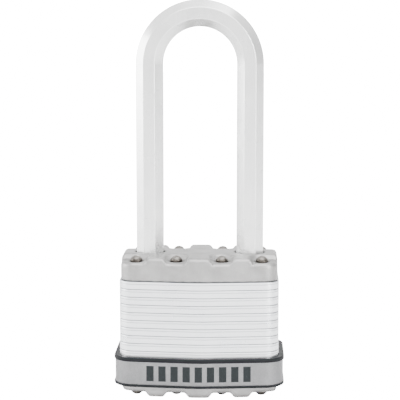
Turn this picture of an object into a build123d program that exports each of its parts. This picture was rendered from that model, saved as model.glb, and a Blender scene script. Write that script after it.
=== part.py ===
from build123d import *
import math
import os

# A laminated padlock with a long shackle, in millimetres. X runs across the width, the front
# faces -Y, +Z is up, and the origin is the middle of the base. The shackle is closed, and the
# cylinder is turned to its open position, so that the shackle is free to rise.

# Outline of the body
BODY_WIDTH = 45.0
MID_DEPTH = 27.8
CROWN = 2.35          # how far the front and back faces fall back from the middle to the sides
CORNER_R = 4.5
NOSE_R = 30.0         # softens the ridge down the middle of the front and back

# Laminations
PLATE_T = 2.2
PLATE_COUNT = 16
PLATE_ROLL = 0.35     # rolled upper edge round each plate
PLATE_BREAK = 0.12    # broken lower edge round each plate
CAPPED_PLATES = 2     # plates inside each end cap

# End caps, pressed from sheet
SHEET = 1.0
CAP_INSET = 0.4       # a cap stands this far inside the outline of the plates
CAP_FIT = 0.05        # between a cap and the plates inside it
CAP_ROUND = 1.3       # rounding round the rim of a cap, at its lands and at its dimples
DIMPLE_DEPTH = 1.4
DIMPLE_R = 2.7
DIMPLE_RUN = 1.0      # width of a dimple's sloping side

# Rivets
RIVET_R = 1.45
RIVET_FIT = 0.05
HEAD_R = 1.75
HEAD_RISE = 1.6       # crown of a rivet's upper head above the dimple's floor
TAIL_RISE = 1.3       # the same for its lower head, which stays clear of the base
HEAD_EDGE = 0.8       # straight side of a head, below its crown
HEAD_RECESS = 0.5     # depth of the pocket that a rivet head sits in
POCKET_GAP = 0.2
RIVET_SPACING = 11.25  # between the outer and inner rivets of a row
RIVET_TO_SIDE = 4.85
RIVET_TO_FACE = 5.5   # from a rivet's centre to the middle of the front or back face

# Bumper
BUMPER_OVERHANG = 1.65
BUMPER_FIT = 0.05
BUMPER_BASE = 3.4
LOWER_LIP = 0.75
BAND_HEIGHT = 6.55
UPPER_LIP = 1.1
BAND_T = 0.7
BAND_SET_IN = 0.3     # the lips stand this far proud of the band
LIP_ROUND = 0.35

# Shackle, an eight-sided bar
ACROSS_FLATS = 7.6
BAR_EDGE_R = 0.4      # rounding of the bar's eight long edges
LEG_TO_SIDE = 8.25    # from a leg's centre to the side of the body
CLEAR_HEIGHT = 64.0
TOE_CLEAR = 0.3       # between the raised toe and the top cap
TOE_FOOT = 0.55       # bar left below the toe's notch
TOE_BEVEL = 1.2
LEG_HOLE_FIT = 0.3
NECK_R = 2.4
FLANGE_T = 2.9
NECK_FIT = 0.35
RIDGE_GAP = 0.3

# Locking balls and their cam
BALL_R = 3.0
BALL_BITE = 1.2       # how far a ball enters its notch when locked
BALL_TRAVEL = 1.45
BALL_FIT = 0.15
NOTCH_FIT = 0.3
CAM_GAP = 0.3
CAM_HEIGHT = 5.8
STEM_R = 2.6
FLOOR_PLATE = 12      # the balls lie on the top of this many plates

# Cylinder
PLUG_R = 4.8
PLUG_FIT = 0.05
SHELL_WALL = 1.35
SHELL_FIT = 0.15
HOUSING_WIDTH = 7.0
HOUSING_REACH = 10.9
FACE_Z = 0.5          # the cylinder's face, inside the rim of the bottom cap
FACE_WALL = 0.7
END_WALL = 0.6        # shell beyond its last pin chamber
KEYWAY_WIDTH = 2.0
KEYWAY_WALL = 0.9     # plug left beside the keyway's open end
KEYWAY_HIGH = 3.1
KEYWAY_STEP = 0.7
CLIP_T = 0.7
CLIP_GROOVE = 0.6
CLIP_CLEAR = 0.2
PLUG_TAIL = 1.0       # plug left above its clip
PLUG_BREAK = 0.2
TANG_WIDTH = 4.0
TANG_T = 1.6
TANG_FIT = 0.1

# Pin stacks
PIN_COUNT = 4
PIN_PITCH = 3.5
FIRST_PIN_Z = 6.2
PIN_R = 1.3
PIN_FIT = 0.08
KEY_PIN_LENGTHS = (3.0, 3.9, 3.4, 4.3)
KEY_PIN_POINT = 0.6   # share of a key pin's radius that its point takes
PIN_TIP_GAP = 0.25
DRIVER_LENGTH = 2.9
DRIVER_BREAK = 0.2
SHEAR_GAP = 0.05
COVER_T = 0.6
COVER_LEDGE = 0.55    # cover beyond each side of a pin
COVER_SILL = 1.0      # shell below the cover
COVER_FIT = 0.05

# Springs
SHACKLE_WIRE_R = 0.42
SHACKLE_PITCH = 1.04
PIN_WIRE_R = 0.16
PIN_SPRING_PITCH = 0.545
TORSION_WIRE_R = 0.35
TORSION_PITCH = 1.153
TORSION_CLEAR = 0.54  # between the torsion spring and its room
SPRING_GAP = 0.12

CUT_MARGIN = 1.0      # how far a cutting shape runs past what it cuts
SLACK = 0.01          # keeps a full rounding just short of its limit

# Levels and places worked out from the sizes above
STACK_BOTTOM = DIMPLE_DEPTH + SHEET
STACK_TOP = STACK_BOTTOM + PLATE_COUNT * PLATE_T
BODY_TOP = STACK_TOP + SHEET + DIMPLE_DEPTH
CAP_HEIGHT = STACK_BOTTOM + CAPPED_PLATES * PLATE_T - CAP_FIT
DIMPLE_SLOPE = math.atan(DIMPLE_RUN / DIMPLE_DEPTH)
LEG_X = BODY_WIDTH / 2 - LEG_TO_SIDE
BAR_CORNER_R = ACROSS_FLATS / 2 / math.cos(math.pi / 8)
LEG_HOLE_R = BAR_CORNER_R + LEG_HOLE_FIT
RIVET_OUTER_X = BODY_WIDTH / 2 - RIVET_TO_SIDE
RIVET_INNER_X = RIVET_OUTER_X - RIVET_SPACING
RIVET_Y = MID_DEPTH / 2 - RIVET_TO_FACE
BALL_OUT_X = LEG_X - ACROSS_FLATS / 2 - BALL_R + BALL_BITE
BALL_IN_X = BALL_OUT_X - BALL_TRAVEL
FLOOR_Z = STACK_BOTTOM + FLOOR_PLATE * PLATE_T
BALL_Z = FLOOR_Z + BALL_R + SHEAR_GAP
BALL_PLATES = math.ceil((2 * BALL_R + 2 * SHEAR_GAP) / PLATE_T)
STOP_PLATE = FLOOR_PLATE - 1
STOP_Z = FLOOR_Z - 2 * PLATE_T
TOE_Z = BALL_Z - BALL_R - NOTCH_FIT - TOE_FOOT
LIFT = BODY_TOP + TOE_CLEAR - TOE_Z
FLANGE_TOP = STOP_Z - LIFT
FLANGE_R = ACROSS_FLATS / 2
CAM_LONG = BALL_OUT_X - BALL_R - CAM_GAP
CAM_SHORT = BALL_IN_X - BALL_R - CAM_GAP
CAM_ROOM_R = CAM_LONG + CAM_GAP
SPRING_ROOM_R = STEM_R + SPRING_GAP + 2 * TORSION_WIRE_R + TORSION_CLEAR
SHELL_R = PLUG_R + PLUG_FIT + SHELL_WALL
SHELL_BASE = SHEET + SPRING_GAP
LAST_PIN_Z = FIRST_PIN_Z + (PIN_COUNT - 1) * PIN_PITCH
SHELL_NEED = LAST_PIN_Z + PIN_R + PIN_FIT + END_WALL + SPRING_GAP
CYLINDER_PLATES = math.ceil((SHELL_NEED - STACK_BOTTOM) / PLATE_T)
SHELL_TOP = STACK_BOTTOM + CYLINDER_PLATES * PLATE_T - SPRING_GAP
CLIP_Z = SHELL_TOP + CLIP_CLEAR
PLUG_TOP = CLIP_Z + CLIP_T + PLUG_TAIL
TANG_TOP = FLOOR_Z - PLATE_T
KEYWAY_LOW = KEYWAY_WALL - PLUG_R
KEY_PIN_TOP = math.sqrt(PLUG_R ** 2 - PIN_R ** 2) - SHEAR_GAP
PIN_HOLE_FLOOR = KEY_PIN_TOP - max(KEY_PIN_LENGTHS) - PIN_TIP_GAP
DRIVER_START = PLUG_R + PLUG_FIT + SHEAR_GAP
CHAMBER_TOP = HOUSING_REACH - COVER_T
COVER_LOW = STACK_BOTTOM + COVER_SILL
COVER_WIDTH = 2 * (PIN_R + COVER_LEDGE)


def raised(sketch, bottom, top):
    """A sketch on the ground plane made solid between two heights."""
    return extrude(Pos(0, 0, bottom) * sketch, amount=top - bottom, dir=(0, 0, 1))


def body_outline(inset=0.0):
    """The body seen from above: straight sides, and a front and back that rise to a soft ridge."""
    half = BODY_WIDTH / 2
    middle = MID_DEPTH / 2
    side = middle - CROWN
    corners = [(-half, -side), (0, -middle), (half, -side), (half, side), (0, middle), (-half, side)]
    face = Polygon(*corners, align=None)
    noses = [v for v in face.vertices() if abs(v.X) < 0.01]
    face = fillet(noses, NOSE_R)
    ends = [v for v in face.vertices() if abs(v.X) > half - 0.01]
    face = fillet(ends, CORNER_R)
    if inset:
        face = offset(face, amount=-inset)
    return face


def rivet_places():
    """Centres of the eight rivets, four along the front and four along the back."""
    xs = (-RIVET_OUTER_X, -RIVET_INNER_X, RIVET_INNER_X, RIVET_OUTER_X)
    return [(x, y) for y in (-RIVET_Y, RIVET_Y) for x in xs]


def dimple_shape(x, y, grow):
    """One dimple seen from above. It runs out through the nearest face of the cap."""
    reach = MID_DEPTH / 2
    radius = DIMPLE_R + grow
    inner_x = abs(x) - radius
    outer_x = abs(x) + radius if abs(x) < RIVET_OUTER_X else BODY_WIDTH / 2 + reach
    inner_y = abs(y) - radius
    outer_y = abs(y) + reach
    shape = RectangleRounded(outer_x - inner_x, outer_y - inner_y, radius - SLACK)
    middle_x = math.copysign((inner_x + outer_x) / 2, x)
    middle_y = math.copysign((inner_y + outer_y) / 2, y)
    return Pos(middle_x, middle_y) * shape


def dimple(x, y, grow, floor_z):
    """The room below one dimple's floor, wider towards the ground plane."""
    shape = Pos(0, 0, floor_z) * dimple_shape(x, y, grow)
    return extrude(shape, amount=floor_z, dir=(0, 0, -1), taper=-math.degrees(DIMPLE_SLOPE))


def rim_waste():
    """What rounding takes off the rim of a cap at the level of its dimples."""
    rim_top = DIMPLE_DEPTH + CAP_ROUND
    sharp = raised(body_outline(CAP_INSET), DIMPLE_DEPTH, rim_top)
    softened = raised(body_outline(CAP_INSET), DIMPLE_DEPTH, rim_top + CUT_MARGIN)
    return sharp - fillet(softened.faces().sort_by(Axis.Z)[0].edges(), CAP_ROUND)


def end_cap():
    """One pressed cap, face down on the ground plane, with its rivet dimples and pockets."""
    outer = raised(body_outline(CAP_INSET), 0, CAP_HEIGHT)
    outer = fillet(outer.faces().sort_by(Axis.Z)[0].edges(), CAP_ROUND)
    inner = raised(body_outline(CAP_INSET + SHEET), SHEET, CAP_HEIGHT)
    grow = SHEET * (1 - math.sin(DIMPLE_SLOPE)) / math.cos(DIMPLE_SLOPE)
    waste = rim_waste()
    for x, y in rivet_places():
        outer -= dimple(x, y, 0, DIMPLE_DEPTH)
        outer -= waste & raised(dimple_shape(x, y, 0), DIMPLE_DEPTH, DIMPLE_DEPTH + CAP_ROUND)
        inner -= dimple(x, y, grow, DIMPLE_DEPTH + SHEET)
    cap = outer - inner
    for x, y in rivet_places():
        pocket_top = DIMPLE_DEPTH + HEAD_RECESS
        cap -= Pos(x, y) * raised(Circle(HEAD_R + POCKET_GAP), 0, pocket_top)
        cap -= Pos(x, y) * raised(Circle(RIVET_R + RIVET_FIT), 0, STACK_BOTTOM)
    return cap


def bottom_cap():
    """The lower cap, with the round opening for the cylinder's face."""
    opening = Circle(SHELL_R - FACE_WALL + SHELL_FIT)
    return end_cap() - raised(opening, 0, STACK_BOTTOM)


def top_cap():
    """The upper cap, with a hole for each leg of the shackle."""
    cap = Pos(0, 0, BODY_TOP) * Rot(180, 0, 0) * end_cap()
    for x in (-LEG_X, LEG_X):
        cap -= Pos(x, 0) * raised(Circle(LEG_HOLE_R), BODY_TOP - CAP_HEIGHT, BODY_TOP)
    return cap


def cylinder_room():
    """The opening that the cylinder shell and its pin housing need in a plate."""
    width = HOUSING_WIDTH + 2 * SHELL_FIT
    reach = HOUSING_REACH + SHELL_FIT
    return Circle(SHELL_R + SHELL_FIT) + Pos(0, reach / 2) * Rectangle(width, reach)


def heel_keyhole():
    """The stop plate's opening: a slot round the heel's neck, wide enough inboard for its flange."""
    slot_r = NECK_R + NECK_FIT
    entry_x = LEG_X - FLANGE_R - slot_r
    slot = Pos(-(LEG_X + entry_x) / 2, 0) * SlotOverall(LEG_X - entry_x + 2 * slot_r, 2 * slot_r)
    return slot + Pos(-entry_x, 0) * Circle(FLANGE_R + NECK_FIT) + Circle(SPRING_ROOM_R)


def plate_opening(index):
    """Everything stamped out of one plate apart from its rivet holes. Plate 0 is the lowest."""
    heel = Pos(-LEG_X, 0) * Circle(LEG_HOLE_R)
    toe = Pos(LEG_X, 0) * Circle(LEG_HOLE_R)
    channel = Rectangle(2 * LEG_X, 2 * (BALL_R + BALL_FIT))
    if index == 0:
        return cylinder_room()
    if index < CYLINDER_PLATES:
        return cylinder_room() + heel
    if index == CYLINDER_PLATES:
        return heel + Circle(SHELL_R + SHELL_FIT)
    if index < STOP_PLATE - 1:
        return heel + Circle(STEM_R + 2 * SHELL_FIT)
    if index == STOP_PLATE - 1:
        return heel_keyhole()
    if index == STOP_PLATE:
        return heel + toe + Circle(SPRING_ROOM_R)
    if index < FLOOR_PLATE + BALL_PLATES:
        return heel + toe + channel + Circle(CAM_ROOM_R)
    return heel + toe


def plate(index):
    """One stamped lamination. The end plates are smaller, because they lie inside the caps."""
    capped = index < CAPPED_PLATES or index >= PLATE_COUNT - CAPPED_PLATES
    inset = CAP_INSET + SHEET + CAP_FIT if capped else 0.0
    bottom = STACK_BOTTOM + index * PLATE_T
    blank = raised(body_outline(inset), bottom, bottom + PLATE_T)
    blank = fillet(blank.faces().sort_by(Axis.Z)[-1].edges(), PLATE_ROLL)
    blank = chamfer(blank.faces().sort_by(Axis.Z)[0].edges(), PLATE_BREAK)
    blank -= raised(plate_opening(index), bottom, bottom + PLATE_T)
    for x, y in rivet_places():
        blank -= Pos(x, y) * raised(Circle(RIVET_R + RIVET_FIT), bottom, bottom + PLATE_T)
    return blank


def head_arc(seat, rise, way):
    """The crown of a rivet head in profile, from its edge to the rivet's axis."""
    crown_rise = HEAD_RECESS + rise - HEAD_EDGE
    crown_r = (HEAD_R ** 2 + crown_rise ** 2) / (2 * crown_rise)
    middle_x = HEAD_R / 2
    middle_rise = crown_rise - crown_r + math.sqrt(crown_r ** 2 - middle_x ** 2)
    edge = seat + way * HEAD_EDGE
    return ThreePointArc(
        (HEAD_R, edge), (middle_x, edge + way * middle_rise), (0, edge + way * crown_rise)
    )


def rivet(x, y):
    """One rivet, headed over into round heads in the pockets of the caps."""
    low = DIMPLE_DEPTH + HEAD_RECESS
    high = BODY_TOP - low
    side = Polyline(
        (HEAD_R, low - HEAD_EDGE), (HEAD_R, low), (RIVET_R, low),
        (RIVET_R, high), (HEAD_R, high), (HEAD_R, high + HEAD_EDGE),
    )
    tail = head_arc(low, TAIL_RISE, -1)
    head = head_arc(high, HEAD_RISE, 1)
    middle = Line(head @ 1, tail @ 1)
    profile = make_face([tail, side, head, middle])
    return Pos(x, y) * revolve(Plane.XZ * profile, Axis.Z, 360)


def bumper_core():
    """The moulded ring round the lower body, with a groove for the band between its two lips."""
    top = BUMPER_BASE + LOWER_LIP + BAND_HEIGHT + UPPER_LIP
    ring = raised(body_outline(-BUMPER_OVERHANG), BUMPER_BASE, top)
    rims = ring.faces().filter_by(Axis.Z).edges()
    ring = fillet(rims, LIP_ROUND)
    groove_low = BUMPER_BASE + LOWER_LIP
    beyond = body_outline(-BUMPER_OVERHANG - CUT_MARGIN)
    groove = beyond - body_outline(-BUMPER_OVERHANG + BAND_SET_IN + BAND_T)
    ring -= raised(groove, groove_low, groove_low + BAND_HEIGHT)
    return ring - raised(body_outline(-BUMPER_FIT), BUMPER_BASE, top)


def bumper_band():
    """The metal band in the bumper's groove."""
    low = BUMPER_BASE + LOWER_LIP
    outer = body_outline(-BUMPER_OVERHANG + BAND_SET_IN)
    inner = body_outline(-BUMPER_OVERHANG + BAND_SET_IN + BAND_T)
    return raised(outer - inner, low, low + BAND_HEIGHT)


def shackle():
    """An eight-sided bar bent to a half circle. The heel leg has a neck and a flange."""
    spring_z = BODY_TOP + CLEAR_HEIGHT + ACROSS_FLATS / 2 - LEG_X
    section = Rot(0, 0, 22.5) * RegularPolygon(BAR_CORNER_R, 8)
    section = fillet(section.vertices(), BAR_EDGE_R)
    ridge_z = STOP_Z + PLATE_T + RIDGE_GAP
    toe_leg = Pos(LEG_X, 0) * raised(section, TOE_Z, spring_z)
    tip_r = ACROSS_FLATS / 2 - TOE_BEVEL
    tip_height = ACROSS_FLATS / 2
    tip = Cylinder(ACROSS_FLATS, tip_height) - Cone(tip_r, tip_r + tip_height, tip_height)
    toe_leg -= Pos(LEG_X, 0, TOE_Z + tip_height / 2) * tip
    heel_leg = Pos(-LEG_X, 0) * raised(section, ridge_z, spring_z)
    arch = revolve(Pos(LEG_X, 0, spring_z) * section, Axis((0, 0, spring_z), (0, -1, 0)), 180)
    neck = Pos(-LEG_X, 0) * raised(Circle(NECK_R), FLANGE_TOP, ridge_z)
    flange = Pos(-LEG_X, 0) * raised(Circle(FLANGE_R), FLANGE_TOP - FLANGE_T, FLANGE_TOP)
    bar = toe_leg + arch + heel_leg + neck + flange
    for side in (-1, 1):
        notch = Rot(90, 0, 0) * Cylinder(BALL_R + NOTCH_FIT, 2 * ACROSS_FLATS)
        bar -= Pos(side * BALL_OUT_X, 0, BALL_Z) * notch
    return bar


def coil(radius, wire_r, bottom, top, pitch):
    """A round-wire spring about the Z axis, between two heights."""
    low = bottom + wire_r
    rise = top - bottom - 2 * wire_r
    path = Pos(0, 0, low) * Helix(pitch=pitch, height=rise, radius=radius)
    start = Plane(origin=path @ 0, z_dir=path % 0)
    return sweep(start * Circle(wire_r), path=path, is_frenet=True)


def shackle_spring():
    """The compression spring between the lowest plate and the heel's flange."""
    bottom = STACK_BOTTOM + PLATE_T
    radius = FLANGE_R - SHACKLE_WIRE_R - SPRING_GAP
    top = FLANGE_TOP - FLANGE_T - SPRING_GAP
    return Pos(-LEG_X, 0) * coil(radius, SHACKLE_WIRE_R, bottom, top, SHACKLE_PITCH)


def ball(side):
    """A locking ball, drawn in from its leg."""
    return Pos(side * BALL_IN_X, 0, BALL_Z) * Sphere(BALL_R)


def actuator():
    """The oval cam between the balls, on a slotted stem that the plug's tang turns."""
    cam_low = FLOOR_Z + SPRING_GAP
    cam = raised(Ellipse(CAM_SHORT, CAM_LONG), cam_low, cam_low + CAM_HEIGHT)
    stem_low = TANG_TOP - PLATE_T + SPRING_GAP
    stem = raised(Circle(STEM_R), stem_low, cam_low)
    slot = Rectangle(TANG_WIDTH + 2 * TANG_FIT, TANG_T + 2 * TANG_FIT)
    return cam + stem - raised(slot, stem_low, TANG_TOP + TANG_FIT)


def actuator_spring():
    """The torsion spring wound round the actuator's stem."""
    bottom = STOP_Z + SPRING_GAP
    top = FLOOR_Z - SPRING_GAP
    return coil(STEM_R + SPRING_GAP + TORSION_WIRE_R, TORSION_WIRE_R, bottom, top, TORSION_PITCH)


def pin_heights():
    """The level of each pin stack along the cylinder."""
    return [FIRST_PIN_Z + i * PIN_PITCH for i in range(PIN_COUNT)]


def along_y(radius, start, end, z):
    """A round bar along Y, on the cylinder's middle plane."""
    length = end - start
    return Pos(0, (start + end) / 2, z) * Rot(90, 0, 0) * Cylinder(radius, length)


def cylinder_shell():
    """The shell that the plug turns in, with the housing for the driver pins behind it."""
    body = raised(Circle(SHELL_R), SHELL_BASE, SHELL_TOP)
    body += raised(Circle(SHELL_R - FACE_WALL), FACE_Z, SHELL_BASE)
    housing = Pos(0, HOUSING_REACH / 2) * Rectangle(HOUSING_WIDTH, HOUSING_REACH)
    body += raised(housing, STACK_BOTTOM + SPRING_GAP, SHELL_TOP)
    body -= raised(Circle(PLUG_R + PLUG_FIT), FACE_Z, SHELL_TOP)
    for z in pin_heights():
        body -= along_y(PIN_R + PIN_FIT, PLUG_R - CUT_MARGIN, HOUSING_REACH, z)
    seat = Pos(0, HOUSING_REACH - COVER_T / 2) * Rectangle(COVER_WIDTH + 2 * COVER_FIT, COVER_T)
    return body - raised(seat, COVER_LOW, SHELL_TOP)


def chamber_cover():
    """The strip that closes the pin chambers."""
    strip = Pos(0, HOUSING_REACH - COVER_T / 2) * Rectangle(COVER_WIDTH, COVER_T)
    return raised(strip, COVER_LOW, SHELL_TOP)


def plug():
    """The turning plug: keyway, pin holes, a clip groove and a tang for the actuator."""
    body = raised(Circle(PLUG_R), FACE_Z, PLUG_TOP)
    body = chamfer(body.faces().sort_by(Axis.Z)[0].edges(), PLUG_BREAK)
    body += raised(Rectangle(TANG_WIDTH, TANG_T), PLUG_TOP, TANG_TOP)
    groove = Circle(PLUG_R + CUT_MARGIN) - Circle(PLUG_R - CLIP_GROOVE)
    body -= raised(groove, CLIP_Z, CLIP_Z + CLIP_T)
    slot_height = KEYWAY_HIGH - KEYWAY_LOW
    middle = (KEYWAY_HIGH + KEYWAY_LOW) / 2
    keyway = Pos(0, middle) * Rectangle(KEYWAY_WIDTH, slot_height)
    for side in (-1, 1):
        rib = Rectangle(KEYWAY_STEP, slot_height / 6)
        keyway -= Pos(side * KEYWAY_WIDTH / 2, middle + side * slot_height / 5) * rib
    body -= raised(keyway, FACE_Z, LAST_PIN_Z + PIN_PITCH / 2)
    for z in pin_heights():
        body -= along_y(PIN_R + PIN_FIT, PIN_HOLE_FLOOR, PLUG_R + CUT_MARGIN, z)
    return body


def plug_clip():
    """The spring clip in the plug's groove, which holds the plug in its shell."""
    inner = PLUG_R - CLIP_GROOVE + PLUG_FIT
    ring = Circle(SHELL_R - CLIP_CLEAR) - Circle(inner) - Pos(0, -PLUG_R) * Rectangle(PLUG_R, 2 * PLUG_R)
    low = CLIP_Z + PLUG_FIT
    return raised(ring, low, low + CLIP_T - 2 * PLUG_FIT)


def key_pin(index):
    """A key pin, pointed at its lower end. The rim of its top lies inside the plug's own circle."""
    tip = KEY_PIN_TOP - KEY_PIN_LENGTHS[index]
    pin = along_y(PIN_R, tip, KEY_PIN_TOP, pin_heights()[index])
    return chamfer(pin.faces().sort_by(Axis.Y)[0].edges(), KEY_PIN_POINT * PIN_R)


def driver_pin(index):
    """A driver pin, just outside the shear line."""
    pin = along_y(PIN_R, DRIVER_START, DRIVER_START + DRIVER_LENGTH, pin_heights()[index])
    return chamfer(pin.faces().sort_by(Axis.Y)[-1].edges(), DRIVER_BREAK)


def pin_spring(index):
    """The spring that presses one driver pin, between the pin and the chamber cover."""
    start = DRIVER_START + DRIVER_LENGTH
    radius = PIN_R - PIN_WIRE_R - SPRING_GAP
    spring = coil(radius, PIN_WIRE_R, start, CHAMBER_TOP, PIN_SPRING_PITCH)
    return Pos(0, 0, pin_heights()[index]) * Rot(-90, 0, 0) * spring


def padlock():
    """Every piece of the padlock, by the name of its node."""
    pieces = {"top_cap": top_cap(), "bottom_cap": bottom_cap()}
    for index in range(PLATE_COUNT):
        pieces[f"plate_{index + 1:02d}"] = plate(index)
    pieces["rivets"] = Compound(children=[rivet(x, y) for x, y in rivet_places()])
    pieces["bumper_core"] = bumper_core()
    pieces["bumper_band"] = bumper_band()
    pieces["shackle"] = shackle()
    pieces["shackle_spring"] = shackle_spring()
    pieces["heel_ball"] = ball(-1)
    pieces["toe_ball"] = ball(1)
    pieces["actuator"] = actuator()
    pieces["actuator_spring"] = actuator_spring()
    pieces["cylinder_shell"] = cylinder_shell()
    pieces["chamber_cover"] = chamber_cover()
    pieces["plug"] = plug()
    pieces["plug_clip"] = plug_clip()
    for index in range(PIN_COUNT):
        pieces[f"key_pin_{index + 1}"] = key_pin(index)
        pieces[f"driver_pin_{index + 1}"] = driver_pin(index)
        pieces[f"pin_spring_{index + 1}"] = pin_spring(index)
    return pieces


os.makedirs("parts", exist_ok=True)
for name, piece in padlock().items():
    export_step(piece, f"parts/{name}.step")
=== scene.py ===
import bpy
import bmesh
import math
from mathutils import Matrix, Vector


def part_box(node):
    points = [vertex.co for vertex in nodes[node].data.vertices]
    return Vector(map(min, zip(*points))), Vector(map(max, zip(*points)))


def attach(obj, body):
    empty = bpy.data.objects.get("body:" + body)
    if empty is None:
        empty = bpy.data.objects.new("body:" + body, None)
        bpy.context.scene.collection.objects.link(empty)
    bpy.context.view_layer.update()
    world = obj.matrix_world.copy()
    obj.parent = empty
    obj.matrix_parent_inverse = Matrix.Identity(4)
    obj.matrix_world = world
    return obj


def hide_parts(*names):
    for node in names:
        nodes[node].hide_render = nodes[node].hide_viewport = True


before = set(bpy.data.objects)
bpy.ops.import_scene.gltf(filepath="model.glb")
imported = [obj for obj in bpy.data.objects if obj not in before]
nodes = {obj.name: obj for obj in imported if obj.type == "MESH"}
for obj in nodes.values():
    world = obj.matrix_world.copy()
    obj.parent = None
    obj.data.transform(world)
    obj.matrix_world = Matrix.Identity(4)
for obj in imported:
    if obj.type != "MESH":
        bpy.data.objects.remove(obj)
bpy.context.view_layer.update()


# The laminations: sixteen plates blanked from bright plated strip and stacked on the rivets.
# A blanked edge is smooth and drawn at its rolled side, and rougher where it broke away.

PLATE_DARK = (0.84, 0.86, 0.89)
PLATE_LIGHT = (0.96, 0.975, 0.99)
PLATE_SHADOW = (0.20, 0.215, 0.24)
LINE_SHADE = 0.8
STEP_SHADE = 0.6

# Levels are shares of a plate's thickness, counted up from its underside.
BREAK_LEVEL = 0.75
BREAK_BLUR = 0.03
BREAK_WANDER = 0.10
STEP_WIDTH = (0.02, 0.09)
JOINT_WIDTH = (0.03, 0.09)

# A pattern is a noise's scale per metre, its detail and its roughness. A stretch draws the
# pattern out along the axes where it is small.
DIE_MARKS = (2600.0, 4.0, 0.6)
DIE_STRETCH = (1.0, 1.0, 0.06)
EDGE_WAVES = (260.0, 3.0, 0.5)
EDGE_STRETCH = (1.0, 1.0, 0.2)
PLATE_HANDLING = (110.0, 500.0)

PLATE_ROUGHNESS = 0.26
BROKEN_ROUGHNESS = 0.14
PLATE_SMUDGE = 0.10
MARK_RELIEF = 0.5
STEP_RELIEF = -0.8
PLATE_SCRATCH = -0.4
PLATE_BUMP = (0.25, 0.00008)

SMUDGE_DETAIL = 4.0
SMUDGE_EDGES = (0.35, 0.65)
SCRATCH_DETAIL = 2.0
SCRATCH_BEND = 1.5
SCRATCH_WIDTH = 0.012
SCRATCHED_EDGES = (0.55, 0.65)


def add_math(tree, operation, first, second=None):
    """A Math node whose inputs are links or plain numbers. Returns its output."""
    node = tree.nodes.new("ShaderNodeMath")
    node.operation = operation
    for socket, given in zip(node.inputs, (first, second)):
        if given is None:
            continue
        if isinstance(given, (int, float)):
            socket.default_value = given
        else:
            tree.links.new(given, socket)
    return node.outputs[0]


def plus(tree, first, second):
    """The sum of two values."""
    return add_math(tree, "ADD", first, second)


def minus(tree, first, second):
    """The first value less the second."""
    return add_math(tree, "SUBTRACT", first, second)


def times(tree, first, second):
    """The product of two values."""
    return add_math(tree, "MULTIPLY", first, second)


def unsigned(tree, value):
    """A value without its sign."""
    return add_math(tree, "ABSOLUTE", value)


def blend(tree, first, second, share=0.5):
    """Two values in one, with this share of the first."""
    return plus(tree, times(tree, first, share), times(tree, second, 1.0 - share))


def add_split(tree, vector):
    """The three coordinates of a vector, as links."""
    node = tree.nodes.new("ShaderNodeSeparateXYZ")
    tree.links.new(vector, node.inputs["Vector"])
    return node.outputs["X"], node.outputs["Y"], node.outputs["Z"]


def add_noise(tree, vector, scale, detail, roughness):
    """A Noise Texture on the given coordinates. Returns its factor."""
    node = tree.nodes.new("ShaderNodeTexNoise")
    node.inputs["Scale"].default_value = scale
    node.inputs["Detail"].default_value = detail
    node.inputs["Roughness"].default_value = roughness
    tree.links.new(vector, node.inputs["Vector"])
    return node.outputs["Fac"]


def add_stretch(tree, vector, scale):
    """Coordinates multiplied along each axis, so that a pattern on them is drawn out."""
    node = tree.nodes.new("ShaderNodeMapping")
    node.inputs["Scale"].default_value = scale
    tree.links.new(vector, node.inputs["Vector"])
    return node.outputs["Vector"]


def add_range(tree, value, low, high, new_low=0.0, new_high=1.0):
    """A Map Range node, clamped. Returns its result."""
    node = tree.nodes.new("ShaderNodeMapRange")
    node.inputs["From Min"].default_value = low
    node.inputs["From Max"].default_value = high
    node.inputs["To Min"].default_value = new_low
    node.inputs["To Max"].default_value = new_high
    tree.links.new(value, node.inputs["Value"])
    return node.outputs["Result"]


def add_tint(tree, mask, dark, light):
    """A colour between two, picked by a mask."""
    node = tree.nodes.new("ShaderNodeMix")
    node.data_type = "RGBA"
    node.inputs["A"].default_value = (*dark, 1.0)
    node.inputs["B"].default_value = (*light, 1.0)
    tree.links.new(mask, node.inputs["Factor"])
    return node.outputs["Result"]


def add_overlay(tree, colour, cover, mask):
    """A linked colour, covered by a plain one where the mask says, for print and painted light."""
    node = tree.nodes.new("ShaderNodeMix")
    node.data_type = "RGBA"
    node.inputs["B"].default_value = (*cover, 1.0)
    tree.links.new(colour, node.inputs["A"])
    tree.links.new(mask, node.inputs["Factor"])
    return node.outputs["Result"]


def add_bump(tree, height, strength, distance):
    """A Bump node. Returns its normal."""
    node = tree.nodes.new("ShaderNodeBump")
    node.inputs["Strength"].default_value = strength
    node.inputs["Distance"].default_value = distance
    tree.links.new(height, node.inputs["Height"])
    return node.outputs["Normal"]


def new_material(name, metallic, **constant):
    """An empty Principled material. Returns it with its tree, shader and object coordinates."""
    material = bpy.data.materials.new(name)
    material.use_nodes = True
    tree = material.node_tree
    shader = tree.nodes["Principled BSDF"]
    shader.inputs["Metallic"].default_value = metallic
    for socket, value in constant.items():
        shader.inputs[socket.replace("_", " ")].default_value = value
    place = tree.nodes.new("ShaderNodeTexCoord").outputs["Object"]
    return material, tree, shader, place


def join_shader(tree, shader, colour, roughness, normal):
    """Links what varies over a surface to its shader."""
    tree.links.new(colour, shader.inputs["Base Color"])
    tree.links.new(roughness, shader.inputs["Roughness"])
    tree.links.new(normal, shader.inputs["Normal"])


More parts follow.
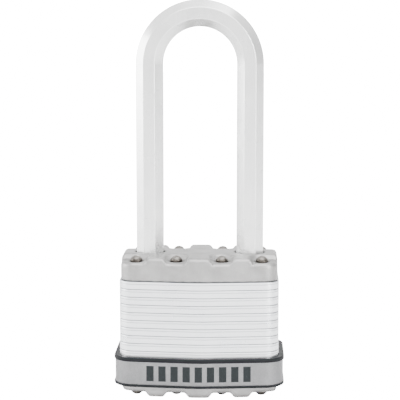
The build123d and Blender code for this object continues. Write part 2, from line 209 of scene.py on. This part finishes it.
def build_handled_group():
    """Handling: broad soft smudges and sparse fine scratches, as two masks."""
    tree = bpy.data.node_groups.new("handled_metal", "ShaderNodeTree")
    for name, way, kind in (
        ("Vector", "INPUT", "NodeSocketVector"),
        ("Smudge Scale", "INPUT", "NodeSocketFloat"),
        ("Scratch Scale", "INPUT", "NodeSocketFloat"),
        ("Smudge", "OUTPUT", "NodeSocketFloat"),
        ("Scratch", "OUTPUT", "NodeSocketFloat"),
    ):
        tree.interface.new_socket(name, in_out=way, socket_type=kind)
    given = tree.nodes.new("NodeGroupInput")
    result = tree.nodes.new("NodeGroupOutput")
    smudge = tree.nodes.new("ShaderNodeTexNoise")
    smudge.inputs["Detail"].default_value = SMUDGE_DETAIL
    wave = tree.nodes.new("ShaderNodeTexNoise")
    wave.inputs["Detail"].default_value = SCRATCH_DETAIL
    wave.inputs["Distortion"].default_value = SCRATCH_BEND
    for noise, scale in ((smudge, "Smudge Scale"), (wave, "Scratch Scale")):
        tree.links.new(given.outputs["Vector"], noise.inputs["Vector"])
        tree.links.new(given.outputs[scale], noise.inputs["Scale"])
    ridge = unsigned(tree, minus(tree, wave.outputs["Fac"], 0.5))
    line = add_range(tree, ridge, 0.0, SCRATCH_WIDTH, 1.0, 0.0)
    sparse = add_range(tree, smudge.outputs["Fac"], *SCRATCHED_EDGES)
    smudged = add_range(tree, smudge.outputs["Fac"], *SMUDGE_EDGES)
    tree.links.new(smudged, result.inputs["Smudge"])
    tree.links.new(times(tree, line, sparse), result.inputs["Scratch"])
    return tree


def add_handled(tree, place, smudge_scale, scratch_scale):
    """The handling group, placed in a material. Returns its smudge and scratch masks."""
    node = tree.nodes.new("ShaderNodeGroup")
    node.node_tree = handled_group
    node.inputs["Smudge Scale"].default_value = smudge_scale
    node.inputs["Scratch Scale"].default_value = scratch_scale
    tree.links.new(place, node.inputs["Vector"])
    return node.outputs["Smudge"], node.outputs["Scratch"]


def paint(names, material):
    """Gives CAD nodes a finished material."""
    for name in names:
        slots = nodes[name].data.materials
        for index in range(len(slots)):
            slots[index] = material


handled_group = build_handled_group()
plate_names = sorted(name for name in nodes if name.startswith("plate_"))


def plate_steel():
    """Bright plated edges with upright die marks, duller where each plate broke away."""
    material, tree, shader, place = new_material("plate_steel", 1.0)
    first_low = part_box(plate_names[0])[0].z
    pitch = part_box(plate_names[1])[0].z - first_low
    _, _, height = add_split(tree, place)
    count = add_math(tree, "DIVIDE", minus(tree, height, first_low), pitch)
    level = add_math(tree, "FRACT", count)
    waves = add_noise(tree, add_stretch(tree, place, EDGE_STRETCH), *EDGE_WAVES)
    edge = plus(tree, level, times(tree, waves, BREAK_WANDER))
    broken = add_range(tree, edge, BREAK_LEVEL - BREAK_BLUR, BREAK_LEVEL + BREAK_BLUR)
    from_break = unsigned(tree, minus(tree, edge, BREAK_LEVEL))
    step = add_range(tree, from_break, *STEP_WIDTH, 1.0, 0.0)
    from_joint = minus(tree, 0.5, unsigned(tree, minus(tree, level, 0.5)))
    joint = add_range(tree, from_joint, *JOINT_WIDTH, 1.0, 0.0)
    marks = add_noise(tree, add_stretch(tree, place, DIE_STRETCH), *DIE_MARKS)
    smudge, scratch = add_handled(tree, place, *PLATE_HANDLING)
    colour = add_tint(tree, blend(tree, marks, smudge), PLATE_DARK, PLATE_LIGHT)
    line = add_math(tree, "MAXIMUM", times(tree, step, STEP_SHADE), joint)
    colour = add_overlay(tree, colour, PLATE_SHADOW, times(tree, line, LINE_SHADE))
    rough = plus(tree, times(tree, broken, BROKEN_ROUGHNESS), PLATE_ROUGHNESS)
    rough = plus(tree, rough, times(tree, smudge, PLATE_SMUDGE))
    relief = plus(tree, times(tree, marks, MARK_RELIEF), times(tree, step, STEP_RELIEF))
    relief = plus(tree, relief, times(tree, scratch, PLATE_SCRATCH))
    join_shader(tree, shader, colour, rough, add_bump(tree, relief, *PLATE_BUMP))
    return material


paint(plate_names, plate_steel())


# The end caps: each pressed from one blank of sheet steel, tumbled to a satin finish, with its
# eight rivet dimples drawn in. The press leaves every corner soft, so the meshes are relaxed.

CAP_DARK = (0.255, 0.252, 0.249)
CAP_LIGHT = (0.40, 0.396, 0.392)
CAP_TONES = (0.35, 0.65)
CAP_TOOTH = (5200.0, 3.0, 0.7)
CAP_CLOUD = (210.0, 5.0, 0.55)
CAP_HANDLING = (160.0, 650.0)
CAP_ROUGHNESS = 0.38
CAP_SMUDGE = 0.12
CAP_SCRATCH = -0.7
CAP_BUMP = (0.22, 0.00006)

# Painted shade darkens the cap round each rivet's pocket, out to these distances from its axis.
POCKET_SHADE = (0.05, 0.046, 0.042)
POCKET_SHADE_REACH = (0.0020, 0.0028)
POCKET_SHADE_WANDER = 0.0004
POCKET_SHADE_COVER = 0.9
HEAD_R = 0.00175
RIVET_SPACING = 0.01125

WELD = 1e-6
CAP_VOXEL = 0.00032
CAP_RELAX = 5
CAP_RELAX_SHARE = 0.5


def rivet_distance(tree, place):
    """The distance from the nearest rivet's axis. The eight rivets mirror about X and Y."""
    _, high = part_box("rivets")
    outer_x = high.x - HEAD_R
    row_y = high.y - HEAD_R
    x, y, _ = add_split(tree, place)
    across = unsigned(tree, x)
    back = minus(tree, unsigned(tree, y), row_y)
    back_square = times(tree, back, back)
    reaches = []
    for rivet_x in (outer_x - RIVET_SPACING, outer_x):
        side = minus(tree, across, rivet_x)
        side_square = times(tree, side, side)
        reaches.append(add_math(tree, "SQRT", plus(tree, side_square, back_square)))
    return add_math(tree, "MINIMUM", *reaches)


def cap_steel():
    """Satin grey sheet: a fine even tooth, with cloudy patches and small handling marks."""
    material, tree, shader, place = new_material("cap_steel", 1.0)
    tooth = add_noise(tree, place, *CAP_TOOTH)
    cloud = add_noise(tree, place, *CAP_CLOUD)
    smudge, scratch = add_handled(tree, place, *CAP_HANDLING)
    tone = add_range(tree, blend(tree, cloud, tooth), *CAP_TONES)
    colour = add_tint(tree, tone, CAP_DARK, CAP_LIGHT)
    # Painted shade: the cap is darkened round each rivet head, where its pocket falls in shade.
    away = plus(tree, rivet_distance(tree, place), times(tree, cloud, POCKET_SHADE_WANDER))
    pocket_shaded = add_range(tree, away, *POCKET_SHADE_REACH, POCKET_SHADE_COVER, 0.0)
    colour = add_overlay(tree, colour, POCKET_SHADE, pocket_shaded)
    rough = plus(tree, times(tree, smudge, CAP_SMUDGE), CAP_ROUGHNESS)
    relief = plus(tree, tooth, times(tree, scratch, CAP_SCRATCH))
    join_shader(tree, shader, colour, rough, add_bump(tree, relief, *CAP_BUMP))
    return material


def pressed_cap(name, material):
    """The cap's own shape with its corners softened as a press leaves them."""
    piece = nodes[name].copy()
    piece.data = nodes[name].data.copy()
    piece.parent = None
    piece.matrix_world = Matrix.Identity(4)
    for key in list(piece.keys()):
        del piece[key]
    piece.name = "pressed_" + name
    shape = bmesh.new()
    shape.from_mesh(piece.data)
    bmesh.ops.remove_doubles(shape, verts=shape.verts, dist=WELD)
    shape.to_mesh(piece.data)
    shape.free()
    bpy.context.scene.collection.objects.link(piece)
    remesh = piece.modifiers.new("sheet", "REMESH")
    remesh.mode = "VOXEL"
    remesh.voxel_size = CAP_VOXEL
    remesh.use_smooth_shade = True
    relax = piece.modifiers.new("press", "SMOOTH")
    relax.factor = CAP_RELAX_SHARE
    relax.iterations = CAP_RELAX
    graph = bpy.context.evaluated_depsgraph_get()
    mesh = bpy.data.meshes.new_from_object(piece.evaluated_get(graph))
    piece.modifiers.clear()
    low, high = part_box(name)
    for vert in mesh.vertices:
        vert.co = [min(max(value, least), most) for value, least, most in zip(vert.co, low, high)]
    piece.data = mesh
    mesh.name = "pressed_" + name
    mesh.materials.clear()
    mesh.materials.append(material)
    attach(piece, "lock_body")
    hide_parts(name)


satin_cap = cap_steel()
pressed_cap("top_cap", satin_cap)
pressed_cap("bottom_cap", satin_cap)


# The rivets: eight mild steel pins with a dark plating, headed over at both ends with a
# rounding tool. The crown of each head is lighter, a painted highlight.

RIVET_DARK = (0.045, 0.04, 0.036)
RIVET_LIGHT = (0.10, 0.09, 0.08)
RIVET_HIGHLIGHT = (0.185, 0.174, 0.162)
RIVET_TONES = (0.35, 0.65)
RIVET_PITS = (1900.0, 4.0, 0.7)
RIVET_PATCHES = (520.0, 3.0, 0.5)
PIT_EDGES = (0.3, 0.7)
RIVET_ROUGHNESS = (0.20, 0.40)
RIVET_BUMP = (0.35, 0.00005)

# The painted highlight starts this far below the head's top, and is full at the second depth.
HIGHLIGHT_START = 0.0008
HIGHLIGHT_FULL = 0.0002
HIGHLIGHT_WANDER = 0.0006


def rivet_steel():
    """Dark plating, pitted, with a painted highlight on the crowns."""
    material, tree, shader, place = new_material("rivet_steel", 1.0)
    low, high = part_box("rivets")
    half_length = (high.z - low.z) / 2
    pits = add_noise(tree, place, *RIVET_PITS)
    patch = add_noise(tree, place, *RIVET_PATCHES)
    tone = add_range(tree, patch, *RIVET_TONES)
    colour = add_tint(tree, tone, RIVET_DARK, RIVET_LIGHT)
    _, _, height = add_split(tree, place)
    from_middle = unsigned(tree, minus(tree, height, (low.z + high.z) / 2))
    lit_height = plus(tree, from_middle, times(tree, patch, HIGHLIGHT_WANDER))
    crown_highlight = add_range(tree, lit_height, half_length - HIGHLIGHT_START, half_length - HIGHLIGHT_FULL)
    # Painted highlight: each head's crown is coloured lighter, where the light catches it.
    colour = add_overlay(tree, colour, RIVET_HIGHLIGHT, crown_highlight)
    rough = add_range(tree, pits, *PIT_EDGES, *RIVET_ROUGHNESS)
    join_shader(tree, shader, colour, rough, add_bump(tree, pits, *RIVET_BUMP))
    return material


paint(["rivets"], rivet_steel())


# The bumper core: a black moulded ring pressed over the lower plates, whose two lips hold the
# band. The mould leaves it lightly spark-textured, with a soft sheen on its rounded lips.

PLASTIC_DARK = (0.006, 0.007, 0.008)
PLASTIC_LIGHT = (0.012, 0.013, 0.015)
PLASTIC_SHINE = 0.08
PLASTIC_PEBBLE = (3600.0, 3.0, 0.6)
PLASTIC_PATCHES = (180.0, 3.0, 0.5)
WORN_EDGES = (0.3, 0.7)
PLASTIC_ROUGHNESS = (0.34, 0.5)
PLASTIC_BUMP = (0.3, 0.00006)


def bumper_plastic():
    """Near-black moulded plastic with a fine pebbled skin."""
    material, tree, shader, place = new_material(
        "bumper_plastic", 0.0, Specular_IOR_Level=PLASTIC_SHINE)
    pebble = add_noise(tree, place, *PLASTIC_PEBBLE)
    patch = add_noise(tree, place, *PLASTIC_PATCHES)
    colour = add_tint(tree, patch, PLASTIC_DARK, PLASTIC_LIGHT)
    rough = add_range(tree, patch, *WORN_EDGES, *PLASTIC_ROUGHNESS)
    join_shader(tree, shader, colour, rough, add_bump(tree, pebble, *PLASTIC_BUMP))
    return material


paint(["bumper_core"], bumper_plastic())


# The bumper band: a satin metal strip wrapped round the core in its groove. Plain dark bars are
# printed on its front as decoration.

BAR_COUNT = 9
BAR_PITCH = 0.0034
BAR_HALF_WIDTH = 0.00105
BAR_HALF_HEIGHT = 0.0022
INK = (0.014, 0.017, 0.018)
INK_BLUR = 0.00004
INK_RELIEF = 0.6

BAND_DARK = (0.17, 0.17, 0.175)
BAND_LIGHT = (0.25, 0.25, 0.255)
BAND_TONES = (0.38, 0.62)
BAND_SHINE = 0.1
BAND_GRAIN = (4200.0, 4.0, 0.75)
BAND_CLOUD = (150.0, 4.0, 0.5)
GRAIN_SHARE = 0.6
BAND_HANDLING = (130.0, 520.0)
BAND_ROUGHNESS = 0.40
BAND_SMUDGE = 0.08
BAND_SCRATCH = -0.5
BAND_BUMP = (0.25, 0.00006)


def bar_ink(tree, place):
    """A mask of the row of bars, centred on the band's front."""
    low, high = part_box("bumper_band")
    row_half = BAR_PITCH * BAR_COUNT / 2
    x, y, z = add_split(tree, place)
    along = add_math(tree, "FLOORED_MODULO", plus(tree, x, row_half), BAR_PITCH)
    from_bar = unsigned(tree, minus(tree, along, BAR_PITCH / 2))
    from_row = unsigned(tree, minus(tree, z, (low.z + high.z) / 2))
    outside = y
    for past in (
        minus(tree, from_bar, BAR_HALF_WIDTH),
        minus(tree, from_row, BAR_HALF_HEIGHT),
        minus(tree, unsigned(tree, x), row_half),
    ):
        outside = add_math(tree, "MAXIMUM", outside, past)
    return add_range(tree, outside, -INK_BLUR, INK_BLUR, 1.0, 0.0)


def band_metal():
    """Satin metal, finely blasted, with the row of printed bars on the front."""
    material, tree, shader, place = new_material(
        "band_metal", 1.0, Specular_IOR_Level=BAND_SHINE)
    grain = add_noise(tree, place, *BAND_GRAIN)
    cloud = add_noise(tree, place, *BAND_CLOUD)
    smudge, scratch = add_handled(tree, place, *BAND_HANDLING)
    tone = add_range(tree, blend(tree, grain, cloud, GRAIN_SHARE), *BAND_TONES)
    ink = bar_ink(tree, place)
    colour = add_overlay(tree, add_tint(tree, tone, BAND_DARK, BAND_LIGHT), INK, ink)
    rough = plus(tree, times(tree, smudge, BAND_SMUDGE), BAND_ROUGHNESS)
    relief = plus(tree, grain, times(tree, scratch, BAND_SCRATCH))
    relief = plus(tree, relief, times(tree, ink, INK_RELIEF))
    join_shader(tree, shader, colour, rough, add_bump(tree, relief, *BAND_BUMP))
    tree.links.new(minus(tree, 1.0, ink), shader.inputs["Metallic"])
    return material


paint(["bumper_band"], band_metal())


# The shackle: an eight-sided bar of hardened alloy steel, bent hot, then ground and bright
# plated, so that its flats carry faint lengthways grinding lines and small marks.

SHACKLE_DARK = (0.78, 0.79, 0.79)
SHACKLE_LIGHT = (0.93, 0.93, 0.92)
SHACKLE_TONES = (0.3, 0.7)
GRIND_LINES = (3200.0, 3.0, 0.6)
GRIND_STRETCH = (1.0, 1.0, 0.03)
SHACKLE_WAVES = (120.0, 3.0, 0.5)
SHACKLE_HANDLING = (140.0, 460.0)
SHACKLE_ROUGHNESS = 0.20
SHACKLE_SMUDGE = 0.10
GRIND_RELIEF = 0.6
SHACKLE_SCRATCH = -0.8
SHACKLE_BUMP = (0.2, 0.00006)


def shackle_steel():
    """Bright plating over lengthways grinding."""
    material, tree, shader, place = new_material("shackle_steel", 1.0)
    lines = add_noise(tree, add_stretch(tree, place, GRIND_STRETCH), *GRIND_LINES)
    waves = add_noise(tree, place, *SHACKLE_WAVES)
    smudge, scratch = add_handled(tree, place, *SHACKLE_HANDLING)
    tone = add_range(tree, blend(tree, lines, waves), *SHACKLE_TONES)
    colour = add_tint(tree, tone, SHACKLE_DARK, SHACKLE_LIGHT)
    rough = plus(tree, times(tree, smudge, SHACKLE_SMUDGE), SHACKLE_ROUGHNESS)
    relief = plus(tree, times(tree, lines, GRIND_RELIEF), times(tree, scratch, SHACKLE_SCRATCH))
    join_shader(tree, shader, colour, rough, add_bump(tree, relief, *SHACKLE_BUMP))
    return material


paint(["shackle"], shackle_steel())


# The cylinder shell and its chamber cover: the shell is a brass casting, turned, bored and drilled
# for its pins, and the cover is a strip of the same brass pressed in over the drilled chambers.

SHELL_DARK = (0.44, 0.32, 0.13)
SHELL_LIGHT = (0.64, 0.48, 0.22)
SHELL_CLOUD = (260.0, 4.0, 0.5)
SHELL_RINGS = (3200.0, 3.0, 0.6)
SHELL_STRETCH = (0.15, 0.15, 1.0)
SHELL_HANDLING = (200.0, 800.0)
SHELL_ROUGHNESS = (0.34, 0.5)
SHELL_SCRATCH = -0.5
SHELL_BUMP = (0.25, 0.00005)


def cylinder_brass():
    """Dull cast brass with tool marks running round it."""
    material, tree, shader, place = new_material("cylinder_brass", 1.0)
    cloud = add_noise(tree, place, *SHELL_CLOUD)
    rings = add_noise(tree, add_stretch(tree, place, SHELL_STRETCH), *SHELL_RINGS)
    smudge, scratch = add_handled(tree, place, *SHELL_HANDLING)
    colour = add_tint(tree, cloud, SHELL_DARK, SHELL_LIGHT)
    rough = add_range(tree, smudge, 0.0, 1.0, *SHELL_ROUGHNESS)
    relief = plus(tree, rings, times(tree, scratch, SHELL_SCRATCH))
    join_shader(tree, shader, colour, rough, add_bump(tree, relief, *SHELL_BUMP))
    return material


paint(["cylinder_shell", "chamber_cover"], cylinder_brass())


# The plug: turned from brass rod and broached for the key. Its face is machined in fine circles
# and darkens where keys rub round the keyway.

PLUG_BRIGHT = (0.72, 0.55, 0.26)
PLUG_RUBBED = (0.46, 0.35, 0.18)
PLUG_RINGS = (4200.0, 3.0, 0.6)
PLUG_CLOUD = (420.0, 4.0, 0.5)
KEYWAY_RUB = (0.0010, 0.0022)
PLUG_RUB_EDGES = (0.35, 0.6)
PLUG_EDGES = (0.3, 0.7)
PLUG_ROUGHNESS = (0.24, 0.4)
PLUG_BUMP = (0.3, 0.00005)


def plug_brass():
    """Bright turned brass with circular marks on its face and a rubbed keyway."""
    material, tree, shader, place = new_material("plug_brass", 1.0)
    x, y, z = add_split(tree, place)
    radius = add_math(tree, "SQRT", plus(tree, times(tree, x, x), times(tree, y, y)))
    turned = tree.nodes.new("ShaderNodeCombineXYZ")
    tree.links.new(radius, turned.inputs["X"])
    tree.links.new(z, turned.inputs["Z"])
    rings = add_noise(tree, turned.outputs["Vector"], *PLUG_RINGS)
    cloud = add_noise(tree, place, *PLUG_CLOUD)
    near_key = add_range(tree, unsigned(tree, x), *KEYWAY_RUB, 1.0, 0.0)
    rubbed = times(tree, near_key, add_range(tree, cloud, *PLUG_RUB_EDGES))
    colour = add_tint(tree, rubbed, PLUG_BRIGHT, PLUG_RUBBED)
    rough = add_range(tree, cloud, *PLUG_EDGES, *PLUG_ROUGHNESS)
    join_shader(tree, shader, colour, rough, add_bump(tree, rings, *PLUG_BUMP))
    return material


paint(["plug"], plug_brass())


# The pins: four key pins and four driver pins, turned from fine brass rod. They are ground to
# length and polished by sliding in their chambers.

PIN_DARK = (0.50, 0.37, 0.16)
PIN_LIGHT = (0.76, 0.60, 0.30)
PIN_RINGS = (6200.0, 2.0, 0.5)
PIN_STRETCH = (0.1, 1.0, 0.1)
PIN_TARNISH = (900.0, 3.0, 0.5)
TARNISH_EDGES = (0.3, 0.7)
PIN_ROUGHNESS = (0.32, 0.18)
PIN_BUMP = (0.2, 0.00003)


def pin_brass():
    """Smooth turned brass, faintly ringed and tarnished in patches."""
    material, tree, shader, place = new_material("pin_brass", 1.0)
    rings = add_noise(tree, add_stretch(tree, place, PIN_STRETCH), *PIN_RINGS)
    tarnish = add_noise(tree, place, *PIN_TARNISH)
    colour = add_tint(tree, tarnish, PIN_DARK, PIN_LIGHT)
    rough = add_range(tree, tarnish, *TARNISH_EDGES, *PIN_ROUGHNESS)
    join_shader(tree, shader, colour, rough, add_bump(tree, rings, *PIN_BUMP))
    return material


paint([name for name in nodes if name.startswith(("key_pin_", "driver_pin_"))], pin_brass())


# The springs and the plug's clip: hard-drawn steel wire, coiled cold, and a stamped spring steel
# ring. They carry a thin film of grease, patchy and slightly brown.

WIRE_CLEAN = (0.50, 0.50, 0.51)
WIRE_GREASY = (0.26, 0.23, 0.19)
WIRE_MARKS = (5200.0, 3.0, 0.6)
WIRE_GREASE = (700.0, 4.0, 0.5)
GREASE_EDGES = (0.4, 0.65)
GREASE_SHEEN = (0.35, 0.65)
WIRE_ROUGHNESS = (0.36, 0.2)
WIRE_BUMP = (0.2, 0.00003)


def spring_steel():
    """Grey drawn wire with fine marks and patches of brown grease."""
    material, tree, shader, place = new_material("spring_steel", 1.0)
    marks = add_noise(tree, place, *WIRE_MARKS)
    grease = add_noise(tree, place, *WIRE_GREASE)
    greasy = add_range(tree, grease, *GREASE_EDGES)
    colour = add_tint(tree, greasy, WIRE_CLEAN, WIRE_GREASY)
    rough = add_range(tree, grease, *GREASE_SHEEN, *WIRE_ROUGHNESS)
    join_shader(tree, shader, colour, rough, add_bump(tree, marks, *WIRE_BUMP))
    return material


sprung = ["shackle_spring", "actuator_spring", "plug_clip"]
sprung += [name for name in nodes if name.startswith("pin_spring_")]
paint(sprung, spring_steel())


# The locking balls: hardened bearing balls, ground and polished. The shackle's notches scuff a
# little of the polish away.

BALL_BRIGHT = (0.72, 0.73, 0.74)
BALL_SCUFFED = (0.60, 0.60, 0.60)
BALL_HANDLING = (380.0, 1500.0)
BALL_ROUGHNESS = (0.08, 0.22)
BALL_BUMP = (-0.3, 0.00003)


def ball_steel():
    """Mirror-bright steel with faint scuffs."""
    material, tree, shader, place = new_material("ball_steel", 1.0)
    smudge, scratch = add_handled(tree, place, *BALL_HANDLING)
    colour = add_tint(tree, smudge, BALL_BRIGHT, BALL_SCUFFED)
    rough = add_range(tree, smudge, 0.0, 1.0, *BALL_ROUGHNESS)
    join_shader(tree, shader, colour, rough, add_bump(tree, scratch, *BALL_BUMP))
    return material


paint(["heel_ball", "toe_ball"], ball_steel())


# The actuator: a sintered steel cam on its slotted stem, porous from the press and oiled. Its
# oval flanks shine where the balls run on them.

CAM_DARK = (0.20, 0.19, 0.17)
CAM_LIGHT = (0.42, 0.40, 0.36)
CAM_PORES = (3600.0, 5.0, 0.75)
PORE_EDGES = (0.35, 0.6)
CAM_OIL = (500.0, 3.0, 0.5)
OIL_EDGES = (0.35, 0.65)
CAM_ROUGHNESS = (0.5, 0.3)
CAM_BUMP = (0.4, 0.00005)


def cam_metal():
    """Grey-brown sintered steel, evenly pored, smoother in patches."""
    material, tree, shader, place = new_material("cam_metal", 1.0)
    pores = add_noise(tree, place, *CAM_PORES)
    oil = add_noise(tree, place, *CAM_OIL)
    colour = add_tint(tree, add_range(tree, pores, *PORE_EDGES), CAM_DARK, CAM_LIGHT)
    rough = add_range(tree, oil, *OIL_EDGES, *CAM_ROUGHNESS)
    join_shader(tree, shader, colour, rough, add_bump(tree, pores, *CAM_BUMP))
    return material


paint(["actuator"], cam_metal())


# The floor, the lights and the camera: a white paper sweep, a panel on the left, a narrow one at
# the front right, a broad one overhead and a long lens. The surroundings are dimmer on the right.

FLOOR_HALF = 2.5
FLOOR_GAP = 0.00003
FLOOR_WHITE = (0.9, 0.9, 0.9, 1.0)
FLOOR_ROUGHNESS = 0.9
FLOOR_SHINE = 0.1
FLOOR_SHARE = 0.75
WHITE_GLOW = 24.0

WORLD_WHITE = (1.0, 1.0, 1.0, 1.0)
WORLD_LEFT = 2.5
WORLD_RIGHT = 1.35
WORLD_FADE = (0.3, 0.95)
WORLD_SHARE = 1.0

# Each panel's place, what it points at, its two sides in metres and its power in watts.
PANELS = {
    "key": ((-0.9, 0.0, 0.12), (0.0, 0.0, 0.06), (0.6, 0.8), 12.0),
    "edge": ((0.75, -0.72, 0.2), (0.0, 0.0, 0.06), (0.22, 0.9), 12.0),
    "top": ((0.15, -0.55, 1.0), (0.05, -0.25, 0.0), (1.2, 1.0), 16.0),
}

CAMERA_TURN = math.radians(1.83)
CAMERA_RISE = math.radians(7.4)
CAMERA_DISTANCE = 0.395
CAMERA_AIM = Vector((0.0, 0.0, 0.0548))
CAMERA_LENS = 124.4
CAMERA_SENSOR = 36.0
CAMERA_CLIP = (0.01, 20.0)


def seen_white(tree, plain, output, share):
    """The surface as it lights the object, mixed with a white glow where it is looked at."""
    glow = tree.nodes.new("ShaderNodeEmission")
    glow.inputs["Strength"].default_value = WHITE_GLOW
    looked_at = tree.nodes.new("ShaderNodeLightPath").outputs["Is Camera Ray"]
    mix = tree.nodes.new("ShaderNodeMixShader")
    tree.links.new(times(tree, looked_at, share), mix.inputs["Fac"])
    tree.links.new(plain, mix.inputs[1])
    tree.links.new(glow.outputs["Emission"], mix.inputs[2])
    tree.links.new(mix.outputs["Shader"], tree.nodes[output].inputs["Surface"])


def pale_floor():
    """A flat white sweep, wide enough to fill every view."""
    shape = bmesh.new()
    bmesh.ops.create_grid(shape, x_segments=1, y_segments=1, size=FLOOR_HALF)
    mesh = bpy.data.meshes.new("floor")
    shape.to_mesh(mesh)
    shape.free()
    floor = bpy.data.objects.new("floor", mesh)
    floor.location.z = -FLOOR_GAP
    bpy.context.scene.collection.objects.link(floor)
    material = bpy.data.materials.new("floor_paper")
    material.use_nodes = True
    tree = material.node_tree
    shader = tree.nodes["Principled BSDF"]
    shader.inputs["Base Color"].default_value = FLOOR_WHITE
    shader.inputs["Roughness"].default_value = FLOOR_ROUGHNESS
    shader.inputs["Specular IOR Level"].default_value = FLOOR_SHINE
    seen_white(tree, shader.outputs["BSDF"], "Material Output", FLOOR_SHARE)
    mesh.materials.append(material)


def studio_world():
    """Even white surroundings that fall off towards the right."""
    world = bpy.data.worlds.new("studio")
    world.use_nodes = True
    tree = world.node_tree
    around = tree.nodes["Background"]
    around.inputs["Color"].default_value = WORLD_WHITE
    way, _, _ = add_split(tree, tree.nodes.new("ShaderNodeTexCoord").outputs["Generated"])
    level = add_range(tree, way, *WORLD_FADE, WORLD_LEFT, WORLD_RIGHT)
    tree.links.new(level, around.inputs["Strength"])
    seen_white(tree, around.outputs["Background"], "World Output", WORLD_SHARE)
    bpy.context.scene.world = world


def face(thing, direction):
    """Turns a light or a camera to look along a direction, upright."""
    thing.rotation_mode = "QUATERNION"
    thing.rotation_quaternion = direction.to_track_quat("-Z", "Y")
    bpy.context.scene.collection.objects.link(thing)


def soft_panel(name, place, aim, size, power):
    """A plain rectangular area light."""
    light = bpy.data.lights.new(name, "AREA")
    light.shape = "RECTANGLE"
    light.size, light.size_y = size
    light.energy = power
    panel = bpy.data.objects.new(name, light)
    panel.location = place
    face(panel, Vector(aim) - Vector(place))


def long_lens_camera():
    """The camera, turned and raised about its aim."""
    data = bpy.data.cameras.new("camera")
    data.lens = CAMERA_LENS
    data.sensor_width = CAMERA_SENSOR
    data.clip_start, data.clip_end = CAMERA_CLIP
    camera = bpy.data.objects.new("camera", data)
    back = Vector((
        math.sin(CAMERA_TURN) * math.cos(CAMERA_RISE),
        -math.cos(CAMERA_TURN) * math.cos(CAMERA_RISE),
        math.sin(CAMERA_RISE),
    ))
    camera.location = CAMERA_AIM + back * CAMERA_DISTANCE
    face(camera, -back)
    bpy.context.scene.camera = camera


pale_floor()
studio_world()
for panel_name, panel_plan in PANELS.items():
    soft_panel(panel_name, *panel_plan)
long_lens_camera()
